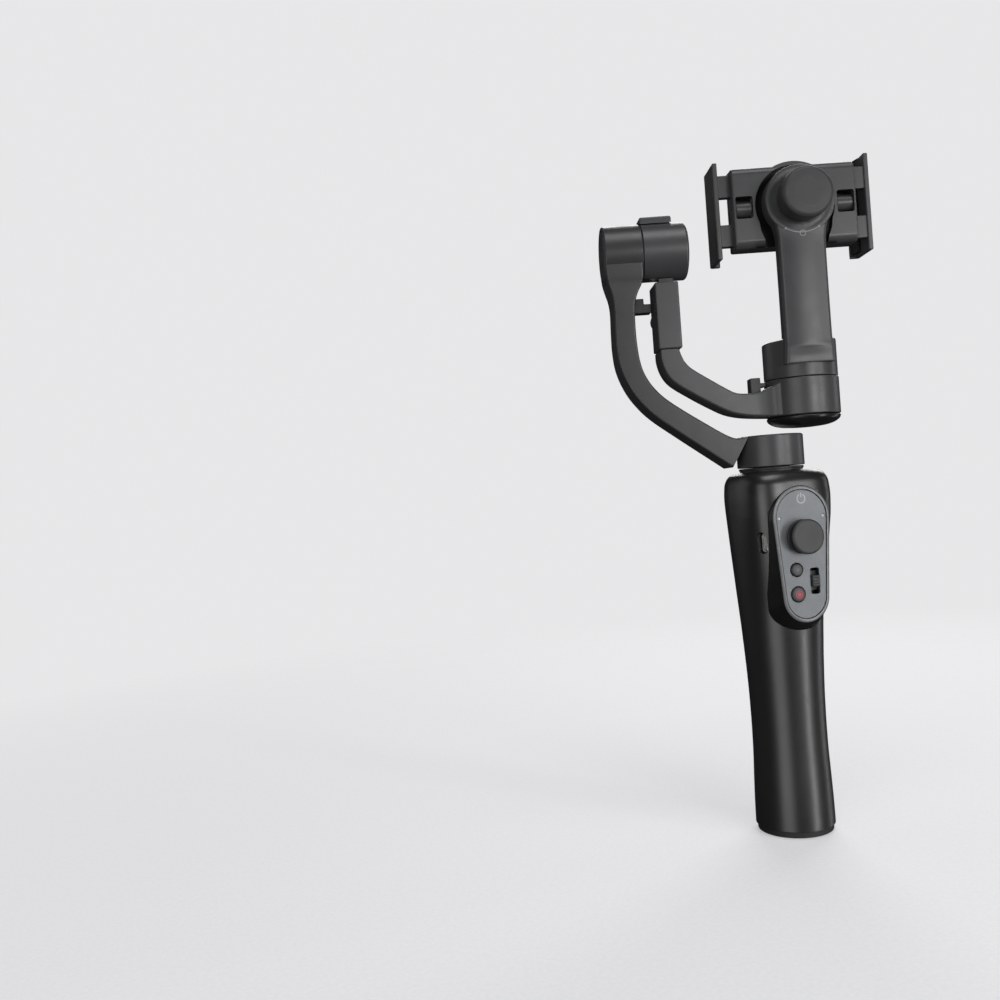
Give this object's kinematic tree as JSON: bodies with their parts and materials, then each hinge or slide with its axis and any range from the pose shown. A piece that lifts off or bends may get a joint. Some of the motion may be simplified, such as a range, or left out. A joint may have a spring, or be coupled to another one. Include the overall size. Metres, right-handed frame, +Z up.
{
  "type": "smartphone camera gimbal",
  "caption": "Hand-held stabiliser for a smartphone: tapered grip with a control panel, two bent arms with motor joints, and a spring clamp with a locking knob.",
  "frame": {"origin": "centre of the grip's bottom face, at the mouth of the tripod socket", "axes": "+Z up the grip along the pan axis, +X towards the tilt motor and away from the roll motor, -Y towards the locking knob and the control panel"},
  "size_m": [0.1148, 0.0492, 0.285],
  "materials": {
    "soft_touch": "soft-touch matte black",
    "gloss_black": "smooth black, satin gloss",
    "panel_grey": "satin mid grey",
    "satin_grey": "dark grey satin paint on die-cast alloy",
    "dark_plastic": "fine matte black",
    "button_dark": "matte black",
    "button_red": "matte red",
    "knob_dark": "matte black with a rubber-like top",
    "rubber": "matte rubber",
    "light_white": "white light pipe",
    "steel": "plain steel",
    "brass": "plain brass",
    "copper": "wound copper on a core",
    "circuit_board": "green solder mask",
    "battery_can": "shrink wrap on a metal can"
  },
  "bodies": {
    "grip": {"grip_shell": "soft_touch", "control_pod_cover": "gloss_black", "control_panel_plate": "panel_grey", "grip_base_cap": "dark_plastic", "tripod_insert": "brass", "base_screw_1": "steel", "base_screw_2": "steel", "battery_sleeve": "dark_plastic", "battery_cell": "battery_can", "control_board": "circuit_board", "joystick_base": "dark_plastic", "status_light_left": "light_white", "status_light_right": "light_white", "usb_socket": "steel", "pan_motor_mount": "dark_plastic", "pan_stator_core": "copper", "pan_bearing": "steel"},
    "stick_ring": {"joystick_ring": "steel"},
    "stick_cap": {"joystick_cap": "rubber"},
    "mode_button": {"mode_button": "button_dark"},
    "record_button": {"record_button": "button_red"},
    "zoom_slider": {"zoom_slider": "button_dark"},
    "pan_arm": {"pan_motor_housing": "satin_grey", "pan_magnet_ring": "steel", "pan_shaft": "steel", "pan_arm_frame": "satin_grey", "roll_motor_cap": "satin_grey", "roll_motor_mount": "dark_plastic", "roll_stator_core": "copper", "roll_bearing": "steel", "roll_limit_stop": "dark_plastic"},
    "roll_carrier": {"roll_motor_housing": "satin_grey", "roll_magnet_ring": "steel", "roll_shaft": "steel", "roll_housing_tab": "dark_plastic", "arm_slide_channel": "satin_grey"},
    "lock_screw": {"arm_lock_screw": "knob_dark"},
    "roll_arm": {"roll_arm_frame": "satin_grey", "tilt_motor_cap": "gloss_black", "tilt_motor_mount": "dark_plastic", "tilt_stator_core": "copper", "tilt_bearing": "steel", "tilt_limit_stop": "dark_plastic"},
    "holder": {"tilt_motor_housing": "satin_grey", "tilt_magnet_ring": "steel", "tilt_shaft": "steel", "holder_arm": "satin_grey", "holder_arm_back_cover": "dark_plastic", "motion_sensor_board": "circuit_board"},
    "clamp": {"clamp_front_cover": "satin_grey", "clamp_frame": "dark_plastic", "clamp_rest_pad": "rubber", "spring_barrel_left": "dark_plastic", "spring_barrel_right": "dark_plastic"},
    "knob": {"clamp_knob": "knob_dark"},
    "jaw_left": {"jaw_left": "dark_plastic", "jaw_left_pad": "rubber"},
    "jaw_right": {"jaw_right": "dark_plastic", "jaw_right_pad": "rubber"},
    "pinion": {"jaw_pinion": "dark_plastic"}
  },
  "joints": [
    {"name": "pan_turn", "type": "hinge", "parent": "grip", "child": "pan_arm", "pos_m": [0, 0, 0.15505], "axis": [0, 0, 1], "continuous": true},
    {"name": "roll_turn", "type": "hinge", "parent": "pan_arm", "child": "roll_carrier", "pos_m": [-0.0498, 0, 0.25], "axis": [1, 0, 0], "range_deg": [-70, 250]},
    {"name": "arm_slide", "type": "slide", "parent": "roll_carrier", "child": "roll_arm", "axis": [0, 0, -1], "range_m": [0, 0.002]},
    {"name": "lock_screw_turn", "type": "hinge", "parent": "roll_carrier", "child": "lock_screw", "pos_m": [-0.041, 0, 0.222], "axis": [0, 1, 0], "range_deg": [0, 360]},
    {"name": "tilt_turn", "type": "hinge", "parent": "roll_arm", "child": "holder", "pos_m": [0.0154, 0, 0.1916], "axis": [0, 0, 1], "range_deg": [-160, 160]},
    {"name": "clamp_rotate", "type": "hinge", "parent": "holder", "child": "clamp", "pos_m": [0.0154, 0, 0.2645], "axis": [0, -1, 0], "range_deg": [-90, 90]},
    {"name": "knob_turn", "type": "hinge", "parent": "clamp", "child": "knob", "pos_m": [0.0154, 0, 0.2645], "axis": [0, -1, 0], "range_deg": [0, 360]},
    {"name": "jaw_left_slide", "type": "slide", "parent": "clamp", "child": "jaw_left", "axis": [-1, 0, 0], "range_m": [0, 0.01], "stiffness_N_per_m": 300, "springref_m": -0.01},
    {"name": "jaw_right_slide", "type": "slide", "parent": "clamp", "child": "jaw_right", "axis": [1, 0, 0], "range_m": [0, 0.01]},
    {"name": "pinion_turn", "type": "hinge", "parent": "clamp", "child": "pinion", "pos_m": [0.0154, 0, 0.2645], "axis": [0, -1, 0], "range_deg": [0, 101]},
    {"name": "stick_rock", "type": "hinge", "parent": "grip", "child": "stick_ring", "pos_m": [0.00398, -0.0155, 0.1255], "axis": [0.9686, 0.2487, 0], "range_deg": [-12, 12], "stiffness_Nm_per_rad": 0.03},
    {"name": "stick_swing", "type": "hinge", "parent": "stick_ring", "child": "stick_cap", "pos_m": [0.00398, -0.0155, 0.1255], "axis": [0, 0, 1], "range_deg": [-12, 12], "stiffness_Nm_per_rad": 0.03},
    {"name": "mode_press", "type": "slide", "parent": "grip", "child": "mode_button", "axis": [-0.2487, 0.9686, 0], "range_m": [0, 0.0006], "stiffness_N_per_m": 1500},
    {"name": "record_press", "type": "slide", "parent": "grip", "child": "record_button", "axis": [-0.2487, 0.9686, 0], "range_m": [0, 0.0006], "stiffness_N_per_m": 1500},
    {"name": "zoom_slide", "type": "slide", "parent": "grip", "child": "zoom_slider", "axis": [0, 0, 1], "range_m": [-0.002, 0.002], "stiffness_N_per_m": 400}
  ],
  "couplings": [
    {"joint": "jaw_right_slide", "follows": "jaw_left_slide", "ratio": 1},
    {"joint": "pinion_turn", "follows": "jaw_left_slide", "rad_per_m": 175.44}
  ]
}
